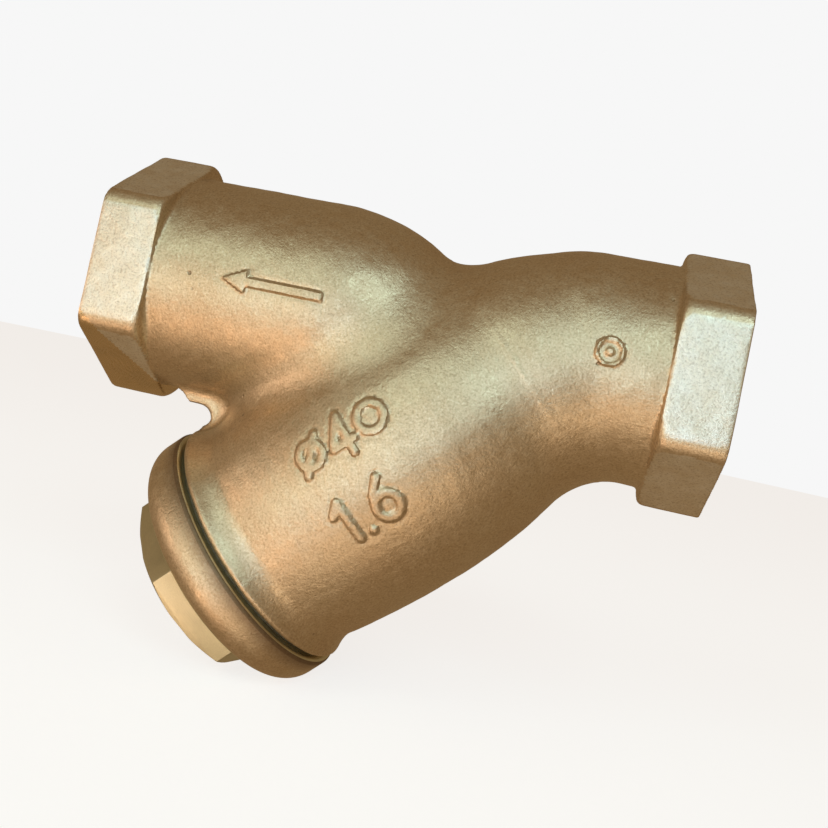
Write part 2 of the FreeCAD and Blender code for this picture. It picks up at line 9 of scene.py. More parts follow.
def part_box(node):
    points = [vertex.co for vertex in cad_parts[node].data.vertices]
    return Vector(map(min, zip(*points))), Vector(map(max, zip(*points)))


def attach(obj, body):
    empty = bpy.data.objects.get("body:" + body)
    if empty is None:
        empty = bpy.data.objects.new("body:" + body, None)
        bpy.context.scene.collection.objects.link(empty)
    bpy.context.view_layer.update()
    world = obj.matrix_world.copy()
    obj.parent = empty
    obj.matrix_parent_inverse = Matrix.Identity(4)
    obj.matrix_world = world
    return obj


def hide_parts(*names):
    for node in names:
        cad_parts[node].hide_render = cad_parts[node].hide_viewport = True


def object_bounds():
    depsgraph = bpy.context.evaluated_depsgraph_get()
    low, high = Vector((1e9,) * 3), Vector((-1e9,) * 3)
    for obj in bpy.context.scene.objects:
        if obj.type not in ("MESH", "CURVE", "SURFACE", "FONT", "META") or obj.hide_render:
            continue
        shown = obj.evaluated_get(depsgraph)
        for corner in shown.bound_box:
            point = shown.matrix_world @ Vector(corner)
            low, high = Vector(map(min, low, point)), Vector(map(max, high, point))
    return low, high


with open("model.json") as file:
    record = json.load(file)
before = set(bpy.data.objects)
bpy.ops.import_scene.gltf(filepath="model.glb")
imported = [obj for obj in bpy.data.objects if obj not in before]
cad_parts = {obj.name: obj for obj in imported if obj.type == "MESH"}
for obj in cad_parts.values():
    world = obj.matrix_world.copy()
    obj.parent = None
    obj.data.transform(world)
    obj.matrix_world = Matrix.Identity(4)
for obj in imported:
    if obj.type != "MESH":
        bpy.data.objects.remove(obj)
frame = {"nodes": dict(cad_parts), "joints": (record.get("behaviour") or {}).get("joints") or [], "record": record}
cad_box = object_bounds()

# Screwed Y strainer. Shapes are worked out in millimetres and turned into metres when
# a mesh is made. The run lies along -X from the inlet face; the branch leaves it
# downwards, along the axis of the cap.
MM = 0.001


# ---- places and sizes taken from the frame ---------------------------------------------
def joint(name):
    return next(j for j in frame["joints"] if j["name"] == name)


def mount(name):
    return next(m for m in frame["record"]["mounts"] if m["name"] == name)


def about(line, places):
    """Distance along a centre line and out from it, for each place."""
    from_start = places - line[0]
    along = from_start @ line[1]
    return along, np.linalg.norm(from_start - along[:, None] * line[1], axis=1)


def reach(name):
    """Start, end, inner radius and outer radius of a CAD node about the branch."""
    places = np.array([v.co for v in frame["nodes"][name].data.vertices], float) / MM
    along, out = about(BRANCH, places)
    return along.min(), along.max(), out.min(), out.max()


cap_axis = np.array(joint("cap_turn")["axis"], float)
cap_axis /= np.linalg.norm(cap_axis)
cap_place = np.array(joint("cap_turn")["pos_m"], float) / MM
FACE_TO_FACE = -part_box("valve_body")[0].x / MM
CROSSING = -(cap_place[0] - cap_place[2] * cap_axis[0] / cap_axis[2])
# Each line is (start, direction, sideways direction in the plane Y = 0).
RUN = (np.zeros(3), np.array((-1.0, 0.0, 0.0)), np.array((0.0, 0.0, 1.0)))
BRANCH = (np.array((-CROSSING, 0.0, 0.0)), cap_axis,
          np.array((-cap_axis[2], 0.0, cap_axis[0])))

BRANCH_LENGTH, GASKET_END, GASKET_INNER, GASKET_OUTER = reach("cap_gasket")
SCREEN_START, SCREEN_END, SCREEN_INNER, SCREEN_RADIUS = reach("screen_tube")
CAP_START, CAP_END, CAP_INNER, CAP_OUTER = reach("cap")
PIPE_CREST_RADIUS = mount("inlet_thread")["dims"]["r_mm"]
PIPE_THREAD_LENGTH = mount("inlet_thread")["dims"]["length_mm"]
THREAD_PITCH = 2.309

# ---- casting -------------------------------------------------------------------------------
HEX_FLATS = 56.0
HEX_LENGTH = 16.0
HEX_SIDE_ROUND = 3.0        # corners that run along the pipe
HEX_FACE_ROUND = 0.55       # machined end face
HEX_SHOULDER_ROUND = 0.5    # shoulder next to the tube, along the flats
HEX_TIP_ROUND = 2.6         # the same shoulder, at the corners
HEX_TIP_TRIM = 0.7
RUN_RADIUS = 0.49 * HEX_FLATS
WAIST_RADIUS = 0.6 * RUN_RADIUS
WAIST_VALLEY = 10.0
DOME_RADIUS = 50.0
WAIST = CROSSING + 1.044 * SCREEN_RADIUS
CREASE_ROUND = 8.0
BORE_RADIUS = 20.0
THROAT_RADIUS = 19.5
SOCKET_RADIUS = SCREEN_RADIUS + 0.3
SOCKET_DEPTH = 8.5
WALL = 4.0
CAP_ROOT_RADIUS = SOCKET_RADIUS + 2.3
CAP_CREST_RADIUS = CAP_ROOT_RADIUS + 1.55
BORE_CREST_RADIUS = CAP_ROOT_RADIUS + 0.3
BORE_ROOT_RADIUS = CAP_CREST_RADIUS + 0.3
CHAMBER_RADIUS = BORE_ROOT_RADIUS + 2.6
BARREL_RADIUS = CHAMBER_RADIUS + WALL + 0.2
NECK_RADIUS = BORE_ROOT_RADIUS + 4.3
RIM_RADIUS = NECK_RADIUS + 2.0
BARREL_WIDEST = 46.0
BARREL_TOP_SWEEP = 130.0
DOME_CENTRE = 16.0
NECK_END = 7.6
RIM_START = 3.4
RIM_ROUND = 1.3
WEB_THICKNESS = 9.0
WEB_REACH = 15.2
WEB_LEAN = math.radians(27.0)
WEB_EDGE_GAP = 0.9
WEB_FILLET = 2.5

# ---- raised marks ----------------------------------------------------------------------
MARK_HEIGHT = 0.55
MARK_STROKE = 2.0
MARK_SIZE = 9.5
MARK_START = 0.685 * BRANCH_LENGTH
MARK_LINES = (-3.4, 13.4)
ARROW_LENGTH = 25.0
ARROW_TAIL = 0.62 * FACE_TO_FACE
RING_MARK_PLACE = 29.3


def at(line, along, out):
    return line[0] + line[1] * along + line[2] * out


# ---- distance fields: negative inside --------------------------------------------------
def join(a, b, fillet):
    """Both shapes, with a round in the hollow edge between them."""
    hollow = np.hypot(np.maximum(fillet - a, 0), np.maximum(fillet - b, 0))
    return np.maximum(fillet, np.minimum(a, b)) - hollow


def overlap(a, b, edge_round):
    """What both shapes hold, with a round on the edge between them."""
    corner = np.hypot(np.maximum(edge_round + a, 0), np.maximum(edge_round + b, 0))
    return np.minimum(-edge_round, np.maximum(a, b)) + corner


def lathe_field(along, out, profile):
    """Distance from a turned skin given as a table of (along, radius)."""
    steps, radii = profile
    slope = np.gradient(radii, steps)
    radius = np.interp(along, steps, radii)
    return (out - radius) / np.hypot(1.0, np.interp(along, steps, slope))


def run_profile():
    """Round run, drawn in to a waist: valley arc between two shoulder arcs."""
    drop = RUN_RADIUS - WAIST_RADIUS
    both = DOME_RADIUS + WAIST_VALLEY
    spread = math.sqrt(2.0 * drop * both - drop * drop)
    steps = np.linspace(0.0, FACE_TO_FACE, 1200)
    away = np.abs(steps - WAIST)
    meet = spread * WAIST_VALLEY / both
    valley = WAIST_RADIUS + WAIST_VALLEY - np.sqrt(
        np.maximum(WAIST_VALLEY ** 2 - np.minimum(away, meet) ** 2, 0))
    dome = RUN_RADIUS - DOME_RADIUS + np.sqrt(
        np.maximum(DOME_RADIUS ** 2 - np.clip(spread - away, 0, None) ** 2, 0))
    return steps, np.where(away < meet, valley, np.where(away < spread, dome, RUN_RADIUS))


def barrel_profile():
    """Branch barrel below its round top: full side, tapered neck and flared rim."""
    steps = np.linspace(DOME_CENTRE - 8.0, BRANCH_LENGTH, 1200)
    side = BARREL_RADIUS - BARREL_TOP_SWEEP + np.sqrt(
        BARREL_TOP_SWEEP ** 2 - (steps - BARREL_WIDEST) ** 2)
    neck = BRANCH_LENGTH - NECK_END
    taper = BARREL_RADIUS - NECK_RADIUS
    low_sweep = ((neck - BARREL_WIDEST) ** 2 + taper ** 2) / (2.0 * taper)
    low = BARREL_RADIUS - low_sweep + np.sqrt(
        np.maximum(low_sweep ** 2 - (steps - BARREL_WIDEST) ** 2, 0))
    share = np.clip((steps - neck) / (NECK_END - RIM_ROUND), 0.0, 1.0)
    rim = NECK_RADIUS + (RIM_RADIUS - NECK_RADIUS) * share * share
    return steps, np.where(steps < BARREL_WIDEST, side, np.where(steps < neck, low, rim))


RUN_PROFILE = run_profile()
BARREL_PROFILE = barrel_profile()


def run_field(places):
    along, out = about(RUN, places)
    return overlap(lathe_field(along, out, RUN_PROFILE),
                   np.abs(along - FACE_TO_FACE / 2.0) - FACE_TO_FACE / 2.0 + 5.0, 1.0)


def barrel_field(places):
    along, out = about(BRANCH, places)
    side = lathe_field(along, out, BARREL_PROFILE)
    sweep_reach = math.hypot(BARREL_WIDEST - DOME_CENTRE, BARREL_TOP_SWEEP - BARREL_RADIUS)
    dome_radius = BARREL_TOP_SWEEP - sweep_reach
    shoulder = DOME_CENTRE - dome_radius * (BARREL_WIDEST - DOME_CENTRE) / sweep_reach
    dome = np.hypot(along - DOME_CENTRE, out) - dome_radius
    skin = np.where(along < shoulder, dome, side)
    return overlap(skin, along - BRANCH_LENGTH, RIM_ROUND)


def hexagon_field(places, middle):
    """Cast hexagon about the run, one corner up, with its long corners rounded."""
    flat = HEX_FLATS / 2.0 - HEX_SIDE_ROUND
    up, side = np.abs(places[:, 2]), np.abs(places[:, 1])
    lean = np.minimum(up * -math.cos(math.pi / 6) + side * 0.5, 0) * 2.0
    up, side = up + lean * math.cos(math.pi / 6), side - lean * 0.5
    half_flat = flat * math.tan(math.pi / 6)
    gap = np.hypot(up - np.clip(up, -half_flat, half_flat), side - flat)
    sides = np.where(side > flat, gap, side - flat) - HEX_SIDE_ROUND
    tips = np.hypot(places[:, 1], places[:, 2]) - (HEX_FLATS / math.sqrt(3.0) - HEX_TIP_TRIM)
    along = -places[:, 0]
    outward = 1.0 if middle > FACE_TO_FACE / 2.0 else -1.0
    from_middle = (along - middle) * outward
    face = from_middle - HEX_LENGTH / 2.0
    shoulder = -from_middle - HEX_LENGTH / 2.0
    tips = overlap(overlap(tips, shoulder, HEX_TIP_ROUND), face, 1.0)
    prism = overlap(overlap(sides, face, HEX_FACE_ROUND), shoulder, HEX_SHOULDER_ROUND)
    return overlap(prism, tips, 1.0)


def shoulder_fillet(places):
    """Fillet between tube and hexagon: next to nothing at the flats, larger at the corners."""
    out = np.maximum(np.hypot(places[:, 1], places[:, 2]), 1.0)
    turn = np.arctan2(np.abs(places[:, 2]), np.abs(places[:, 1]))
    turn = np.abs(np.mod(turn + math.pi / 6, math.pi / 3) - math.pi / 6)
    height = HEX_FLATS / 2.0 / np.cos(turn) - RUN_RADIUS
    return np.where(out > 1.0, np.clip(0.15 + 0.45 * height, 0.3, 2.0), 0.3)


def web_field(places):
    """Plate in the crotch between outlet and branch, with a hollow round edge."""
    lean = -BRANCH[1][2]
    turn = math.asin(lean)
    crotch_along = (RUN_RADIUS + NECK_RADIUS * math.cos(turn)) / lean
    crotch = at(BRANCH, crotch_along, -NECK_RADIUS)
    outward = np.array((-math.cos(WEB_LEAN), 0.0, -math.sin(WEB_LEAN)))
    from_eye = places - (crotch + outward * WEB_REACH)
    radius = WEB_REACH * math.sin(turn / 2.0) - WEB_EDGE_GAP
    # The hollow is everything near the wedge that opens from the eye, between the lines
    # of the run and of the branch.
    over = from_eye[:, 2]
    under = from_eye @ BRANCH[2]
    past = [np.maximum(from_eye @ line[1], 0.0) for line in (RUN, BRANCH)]
    gaps = [np.linalg.norm(from_eye - past[i][:, None] * line[1], axis=1)
            for i, line in enumerate((RUN, BRANCH))]
    wedge = np.where(np.maximum(over, under) < 0, 0.0, np.minimum(gaps[0], gaps[1]))
    plate = overlap(np.abs(places[:, 1]) - WEB_THICKNESS / 2.0, radius - wedge, 1.6)
    ends = np.maximum(-places[:, 0] - FACE_TO_FACE + HEX_LENGTH - 1.0, places[:, 0] + 108.0)
    past_rim = about(BRANCH, places)[0] - (BRANCH_LENGTH - RIM_START)
    levels = np.maximum(np.maximum(places[:, 2] + 20.0, -50.0 - places[:, 2]), past_rim)
    return np.maximum(np.maximum(plate, ends), levels)


def unevenness(places):
    """Slow ripple of a sand casting, a few hundredths of a millimetre."""
    x, y, z = places.T
    return (0.05 * np.sin(x * 0.31 + 1.3) * np.cos(z * 0.27 + y * 0.19)
            + 0.035 * np.sin(y * 0.53 + z * 0.41 + 0.7) * np.cos(x * 0.47)
            + 0.02 * np.sin(x * 1.1 + y * 0.9) * np.sin(z * 1.2 + 0.4))


# ---- raised marks ----------------------------------------------------------------------
def stroke_gap(flat, points):
    """Flat distance from a line drawn through points."""
    gap = np.full(len(flat), 1e3)
    for start, end in zip(points, points[1:]):
        run = end - start
        share = np.clip((flat - start) @ run / (run @ run), 0, 1)
        gap = np.minimum(gap, np.hypot(*(flat - start - share[:, None] * run).T))
    return gap


def ring_gap(flat, centre, radius):
    return np.abs(np.hypot(*(flat - centre).T) - radius)


def size_marks(flat):
    """Nominal bore over nominal pressure, reading up the barrel towards the inlet."""
    size = MARK_SIZE
    across = -BRANCH[1][[0, 2]] * size
    upright = -BRANCH[2][[0, 2]] * size
    first, second = (at(BRANCH, MARK_START, line)[[0, 2]] for line in MARK_LINES)

    def glyph(corner, *pairs):
        return stroke_gap(flat, [corner + across * x + upright * y for x, y in pairs])

    half = MARK_STROKE / 2.0
    gaps = [ring_gap(flat, first + across * 0.3 + upright * 0.5, 0.3 * size),
            glyph(first, (0.0, 0.1), (0.6, 0.9)),
            glyph(first + across * 0.85, (0.42, 0), (0.42, 1), (0, 0.3), (0.6, 0.3)),
            ring_gap(flat, first + across * 2.0 + upright * 0.5, 0.34 * size),
            glyph(second, (0, 0.75), (0.25, 1), (0.25, 0)),
            glyph(second + across * 0.62, (0, 0), (0.001, 0)),
            ring_gap(flat, second + across * 1.25 + upright * 0.3, 0.3 * size),
            glyph(second + across * 0.95, (0, 0.3), (0.12, 0.68), (0.42, 1))]
    return np.min(gaps, axis=0) - half


def run_marks(flat):
    """Flow arrow on the outlet side, and a ring with a dot beside the inlet."""
    tail = np.array((-ARROW_TAIL, 1.0))
    shaft_half, head, barb = 1.1, 6.2, 3.0
    along, aside = (tail - flat)[:, 0], np.abs((flat - tail)[:, 1])
    shaft = np.maximum(np.maximum(-along, along - ARROW_LENGTH + head), aside - shaft_half)
    slope = math.hypot(head, barb)
    side = (aside * head + (along - ARROW_LENGTH) * barb) / slope
    arrow = np.minimum(shaft, np.maximum(side, ARROW_LENGTH - head - along))
    spot = np.array((-RING_MARK_PLACE, 1.9))
    ring = ring_gap(flat, spot, 2.9) - 0.45
    dot = np.hypot(*(flat - spot).T) - 1.0
    return np.minimum(np.minimum(arrow, ring), dot)


def relief(places):
    """How far the marks stand out, with a faint moat round each stroke."""
    flat = places[:, [0, 2]]
    gap = np.minimum(size_marks(flat), run_marks(flat))
    rise = np.clip((0.22 - gap) / 0.5, 0.0, 1.0)
    raised = MARK_HEIGHT * rise * rise * (3.0 - 2.0 * rise)
    moat = 0.14 * np.exp(-((gap - 0.45) / 0.32) ** 2)
    return np.where(places[:, 1] < 0, raised - moat, 0.0)


# ---- the cast body ---------------------------------------------------------------------
def body_outside(places):
    field = join(run_field(places), barrel_field(places), CREASE_ROUND)
    for middle in (HEX_LENGTH / 2.0, FACE_TO_FACE - HEX_LENGTH / 2.0):
        field = join(field, hexagon_field(places, middle), shoulder_fillet(places))
    field = join(field, web_field(places), WEB_FILLET)
    end_faces = np.abs(places[:, 0] + FACE_TO_FACE / 2.0) - FACE_TO_FACE / 2.0
    return np.maximum(field - unevenness(places), end_faces)


def water_way(places):
    """Cored passages: inlet and elbow, screen chamber, and outlet over the waist."""
    along, out = about(RUN, places)
    from_branch, branch_out = about(BRANCH, places)
    bore = np.where(along < CROSSING, out, np.hypot(along - CROSSING, out)) - BORE_RADIUS
    throat = np.maximum(branch_out - THROAT_RADIUS, np.abs(from_branch - 6.0) - 6.0)
    socket_end = SCREEN_START + SOCKET_DEPTH
    socket = np.maximum(branch_out - SOCKET_RADIUS,
                        np.abs(from_branch - (SCREEN_START + socket_end) / 2.0)
                        - SOCKET_DEPTH / 2.0)
    thread_start = CAP_START - 2.0
    chamber_points = [(socket_end, CHAMBER_RADIUS - 2.6), (BARREL_WIDEST, CHAMBER_RADIUS),
                      (thread_start - 2.0, BORE_ROOT_RADIUS + 0.6),
                      (thread_start + 3.0, BORE_CREST_RADIUS)]
    steps, radii = (np.array(column) for column in zip(*chamber_points))
    chamber = branch_out - np.interp(from_branch, steps, radii)
    chamber = overlap(chamber, socket_end - from_branch, 2.0)
    dome = DOME_RADIUS - WALL
    sink = BORE_RADIUS - (WAIST_RADIUS - WALL)
    knee = WAIST + math.sqrt(2.0 * dome * sink - sink * sink)
    rise = np.clip(knee - along, 0, math.sqrt(2.0 * dome * sink - sink * sink))
    ceiling = BORE_RADIUS - dome + np.sqrt(dome ** 2 - rise ** 2)
    outlet = np.maximum(out - ceiling, WAIST - along)
    seat_wall = np.maximum(branch_out - SOCKET_RADIUS - WALL, from_branch - socket_end)
    outlet = np.maximum(outlet, -seat_wall)
    inside = np.minimum(np.minimum(bore, throat), socket)
    return np.minimum(inside, join(chamber, outlet, 2.0))


def marked_outside(places):
    return body_outside(places) - relief(places)


def body_field(places):
    return np.maximum(marked_outside(places), -water_way(places))


# ---- from a field to a mesh ------------------------------------------------------------
def in_batches(field, places, size=400000):
    return np.concatenate([field(places[i:i + size]) for i in range(0, len(places), size)])


def sampled(field, low, high, step, block=8):
    """Field values on a grid. Blocks that the skin can't cross keep a coarse value."""
    count = np.ceil((high - low) / (step * block)).astype(int)
    centres = [low[i] + (np.arange(count[i]) + 0.5) * block * step for i in range(3)]
    places = np.stack(np.meshgrid(*centres, indexing="ij"), -1).reshape(-1, 3)
    coarse = in_batches(field, places)
    near = np.abs(coarse) < block * step * 1.5
    grid = np.repeat(coarse, block ** 3).reshape(-1, block, block, block).astype(np.float32)
    inner = (np.arange(block) + 0.5 - block / 2.0) * step
    offsets = np.stack(np.meshgrid(inner, inner, inner, indexing="ij"), -1).reshape(-1, 3)
    close = (places[near][:, None, :] + offsets[None]).reshape(-1, 3)
    grid[near] = in_batches(field, close).reshape(-1, block, block, block)
    grid = grid.reshape(*count, block, block, block).transpose(0, 3, 1, 4, 2, 5)
    return grid.reshape(count * block), low + step * 0.5


def net(values, origin, step):
    """Surface net: one vertex in each cell that the skin crosses, one quad per crossed edge."""
    inside = values < 0
    cells = [slice(0, -1), slice(1, None)]
    total = sum(inside[cells[i], cells[j], cells[k]].astype(np.int8)
                for i in (0, 1) for j in (0, 1) for k in (0, 1))
    mixed = (total > 0) & (total < 8)
    index = np.full(mixed.shape, -1, np.int64)
    index[mixed] = np.arange(mixed.sum())
    home = np.argwhere(mixed)
    summed, crossings = np.zeros((len(home), 3)), np.zeros(len(home))
    quads = []
    for axis in range(3):
        step_on = np.eye(3, dtype=int)[axis]
        others = [i for i in range(3) if i != axis]
        for shift in ((0, 0), (0, 1), (1, 0), (1, 1)):
            corner = np.zeros(3, int)
            corner[others] = shift
            start = tuple((home + corner).T)
            end = tuple((home + corner + step_on).T)
            a, b = values[start], values[end]
            cross = (a < 0) != (b < 0)
            share = np.where(cross, a / np.where(cross, a - b, 1.0), 0.0)
            summed += (corner + share[:, None] * step_on) * cross[:, None]
            crossings += cross
        low = [slice(None)] * 3
        high = [slice(None)] * 3
        low[axis], high[axis] = cells
        edges = np.argwhere(inside[tuple(low)] != inside[tuple(high)])
        edges = edges[(edges[:, others] > 0).all(1)]
        limit = np.array(mixed.shape)
        edges = edges[(edges[:, others] < limit[others]).all(1)]
        ring = []
        for shift in ((1, 1), (0, 1), (0, 0), (1, 0)):
            back = np.zeros(3, int)
            back[others] = shift
            ring.append(index[tuple((edges - back).T)])
        faces = np.stack(ring, 1)
        flip = inside[tuple(edges.T)] != (axis == 1)
        faces[~flip] = faces[~flip][:, ::-1]
        quads.append(faces)
    vertices = origin + (home + summed / crossings[:, None]) * step
    return vertices, np.concatenate(quads)


def gradient(field, places, nudge=0.04):
    sides = []
    for axis in np.eye(3) * nudge:
        sides.append((in_batches(field, places + axis) - in_batches(field, places - axis))
                     / (2.0 * nudge))
    return np.stack(sides, 1)


def settle(field, vertices, step, rounds=3):
    """Move each vertex onto the skin itself."""
    for _ in range(rounds):
        slope = gradient(field, vertices)
        steep = np.maximum((slope * slope).sum(1), 0.2)
        move = (in_batches(field, vertices) / steep)[:, None] * slope
        length = np.maximum(np.linalg.norm(move, axis=1, keepdims=True), 1e-9)
        vertices = vertices - move * np.minimum(1.0, 0.4 * step / length)
    return vertices


def mesh_object(name, vertices, faces, smooth=True):
    """New object from places in millimetres."""
    mesh = bpy.data.meshes.new(name)
    faces = np.asarray(faces)
    mesh.vertices.add(len(vertices))
    mesh.vertices.foreach_set("co", (np.asarray(vertices) * MM).astype(np.float32).ravel())
    mesh.loops.add(faces.size)
    mesh.loops.foreach_set("vertex_index", faces.astype(np.int32).ravel())
    mesh.polygons.add(len(faces))
    mesh.polygons.foreach_set("loop_start", np.arange(0, faces.size, faces.shape[1],
                                                      dtype=np.int32))
    mesh.polygons.foreach_set("use_smooth", np.full(len(faces), smooth))
    mesh.update(calc_edges=True)
    mesh.validate()
    piece = bpy.data.objects.new(name, mesh)
    bpy.context.scene.collection.objects.link(piece)
    return piece


def field_object(name, field, low, high, step):
    values, origin = sampled(field, np.array(low, float), np.array(high, float), step)
    vertices, quads = net(values, origin, step)
    return mesh_object(name, settle(field, vertices, step), quads)


# ---- turned, threaded and hexagonal solids ---------------------------------------------
def frame_of(line):
    """Matrix whose columns are the sideways directions and the line itself."""
    return np.stack([line[2], np.cross(line[1], line[2]), line[1]])


def placed(line, along, out, turn):
    spokes = np.stack([out * np.cos(turn), out * np.sin(turn), along], -1)
    return line[0] + spokes @ frame_of(line)


def arc(centre, radius, start, end, points=8):
    """Points of an arc in the (along, out) plane; angles in degrees from the line."""
    turns = np.radians(np.linspace(start, end, points))
    return [(centre[0] + radius * math.cos(t), centre[1] + radius * math.sin(t)) for t in turns]


def turned(name, line, outline, segments=144):
    """Closed solid from an outline of (along, out) points that starts and ends on the line."""
    ring = np.array(outline[1:-1])
    turn = np.arange(segments) * math.tau / segments
    wall = placed(line, ring[:, None, 0] + 0 * turn, ring[:, None, 1] + 0 * turn,
                  turn[None] + 0 * ring[:, None, 0]).reshape(-1, 3)
    poles = [at(line, outline[0][0], 0), at(line, outline[-1][0], 0)]
    return tube_mesh(name, wall, len(ring), segments, poles)


def tube_mesh(name, wall, rows, segments, poles):
    """Join rings of places into a closed skin with a pole at each end."""
    mesh = bmesh.new()
    places = [mesh.verts.new(Vector(place) * MM) for place in wall]
    ends = [mesh.verts.new(Vector(pole) * MM) for pole in poles]
    for row in range(rows - 1):
        for i in range(segments):
            j = (i + 1) % segments
            a, b = row * segments, (row + 1) * segments
            mesh.faces.new((places[a + i], places[a + j], places[b + j], places[b + i]))
    for i in range(segments):
        j = (i + 1) % segments
        mesh.faces.new((ends[0], places[j], places[i]))
        mesh.faces.new((ends[1], places[(rows - 1) * segments + i],
                        places[(rows - 1) * segments + j]))
    bmesh.ops.remove_doubles(mesh, verts=mesh.verts, dist=1e-7)
    bmesh.ops.recalc_face_normals(mesh, faces=mesh.faces)
    made = bpy.data.meshes.new(name)
    mesh.to_mesh(made)
    mesh.free()
    piece = bpy.data.objects.new(name, made)
    bpy.context.scene.collection.objects.link(piece)
    return piece


def threaded(name, line, start, end, base, depth, land, phase=0.0, segments=144):
    """Screw-shaped solid: radius base, with a helical ridge of that depth on it."""
    steps = np.array([0.0, 0.06, 0.2, 0.3, 0.36, 0.5, 0.64, 0.7, 0.8, 0.94])
    turn = np.arange(segments) * math.tau / segments
    turns = np.arange(math.floor((start - phase) / THREAD_PITCH) - 2,
                      math.ceil((end - phase) / THREAD_PITCH) + 2)
    rows = phase + (turns[:, None] + steps).reshape(-1, 1) * THREAD_PITCH
    along = np.clip(rows + THREAD_PITCH * turn / math.tau, start, end)
    place = np.mod((along - phase) / THREAD_PITCH - turn / math.tau, 1.0)
    wave = np.cos(math.tau * place) - land
    out = base + depth * (0.5 + 0.5 * np.tanh(2.4 * wave) / math.tanh(2.4))
    wall = placed(line, along, out, turn + 0 * along).reshape(-1, 3)
    poles = [at(line, start, 0), at(line, end, 0)]
    return tube_mesh(name, wall, len(rows), segments, poles)


def carve(piece, *tools, operation="DIFFERENCE"):
    """Cut tools out of a piece, or join them to it, and remove the tools."""
    for tool in tools:
        change = piece.modifiers.new("carve", "BOOLEAN")
        change.operation = operation
        change.solver = "MANIFOLD"
        change.object = tool
        made = bpy.data.meshes.new_from_object(
            piece.evaluated_get(bpy.context.evaluated_depsgraph_get()))
        piece.modifiers.clear()
        piece.data = made
        bpy.data.objects.remove(tool)
    return piece


def sharpen(piece, angle=35.0):
    """Smooth shading that breaks only at real edges."""
    piece.data.shade_smooth()
    piece.data.set_sharp_from_angle(angle=math.radians(angle))
    return piece


def places_of(mesh):
    flat = np.zeros(len(mesh.vertices) * 3, np.float32)
    mesh.vertices.foreach_get("co", flat)
    return flat.reshape(-1, 3).astype(float) / MM


def normals_of(mesh):
    flat = np.zeros(len(mesh.vertices) * 3, np.float32)
    mesh.vertices.foreach_get("normal", flat)
    return flat.reshape(-1, 3).astype(float)


def face_middles(mesh):
    flat = np.zeros(len(mesh.polygons) * 3, np.float32)
    mesh.polygons.foreach_get("center", flat)
    return flat.reshape(-1, 3).astype(float) / MM


def store(mesh, name, values):
    attribute = mesh.attributes.new(name, "FLOAT", "POINT")
    attribute.data.foreach_set("value", np.asarray(values, np.float32))


def paint_shade_and_wear(piece, field, depth=0.9):
    """Where painted shade darkens the hollows and where edges rub bright, measured from the shape itself."""
    places, normals = places_of(piece.data), normals_of(piece.data)
    above = in_batches(field, places + normals * depth)
    below = in_batches(field, places - normals * depth)
    # First mask: hollows, whose colour is darkened as painted shade. Second mask: convex edges, lightened as wear.
    store(piece.data, "painted_shade", np.clip(1.0 - above / depth, 0, 1))
    store(piece.data, "edge", np.clip(1.0 + below / depth, 0, 1))


def paint(piece, materials, choose):
    """Give the piece its materials, and each face the one that choose picks."""
    piece.data.materials.clear()
    for material in materials:
        piece.data.materials.append(material)
    picked = choose(face_middles(piece.data)).astype(np.int32)
    piece.data.polygons.foreach_set("material_index", picked)
    piece.data.update()


# ---- pieces ----------------------------------------------------------------------------
PIPE_THREAD_DEPTH = 1.479
MOUTH_FLARE = 1.9
FINISH_GAP = 0.06           # how close a face lies to a cut to count as machined


def body_tools():
    """What the lathe takes out: two pipe threads, the cap thread and their lead-ins."""
    tools = []
    for face, inward in ((0.0, 1.0), (FACE_TO_FACE, -1.0)):
        outside, deep = face - inward, face + inward * PIPE_THREAD_LENGTH
        tools.append(threaded("tap", RUN, min(outside, deep), max(outside, deep),
                              PIPE_CREST_RADIUS, PIPE_THREAD_DEPTH, 0.0))
        root = PIPE_CREST_RADIUS + PIPE_THREAD_DEPTH
        flare = [(outside, 0), (outside, root + MOUTH_FLARE), (face, root + 0.55),
                 (face + inward * 2.4, PIPE_CREST_RADIUS - 0.1), (face + inward * 2.4, 0)]
        tools.append(turned("flare", RUN, flare))
    deep = CAP_START - 2.5
    tools.append(threaded("cap_tap", BRANCH, deep, BRANCH_LENGTH - 1.0, BORE_CREST_RADIUS,
                          BORE_ROOT_RADIUS - BORE_CREST_RADIUS, -0.19, BRANCH_LENGTH))
    relief_radius = BORE_ROOT_RADIUS + 0.2
    mouth = [(BRANCH_LENGTH - 2.4, 0), (BRANCH_LENGTH - 2.4, BORE_CREST_RADIUS),
             (BRANCH_LENGTH - 1.2, relief_radius), (BRANCH_LENGTH + 1.0, relief_radius),
             (BRANCH_LENGTH + 1.0, 0)]
    tools.append(turned("mouth", BRANCH, mouth))
    return tools


def body_finish(places):
    """1 where the body is machined, 0 where it is as cast."""
    along, out = about(RUN, places)
    branch_along, branch_out = about(BRANCH, places)
    from_end = np.minimum(along, FACE_TO_FACE - along)
    face = from_end < FINISH_GAP
    thread = (from_end < PIPE_THREAD_LENGTH + FINISH_GAP) & (out < PIPE_CREST_RADIUS + 2.2)
    seat = branch_along > BRANCH_LENGTH - FINISH_GAP
    cap_thread = (branch_along > CAP_START - 2.6) & (branch_out < BORE_ROOT_RADIUS + 0.3)
    socket = ((branch_out < SOCKET_RADIUS + FINISH_GAP) & (branch_along > SCREEN_START - FINISH_GAP)
              & (branch_along < SCREEN_START + SOCKET_DEPTH + FINISH_GAP))
    return face | thread | seat | cap_thread | socket


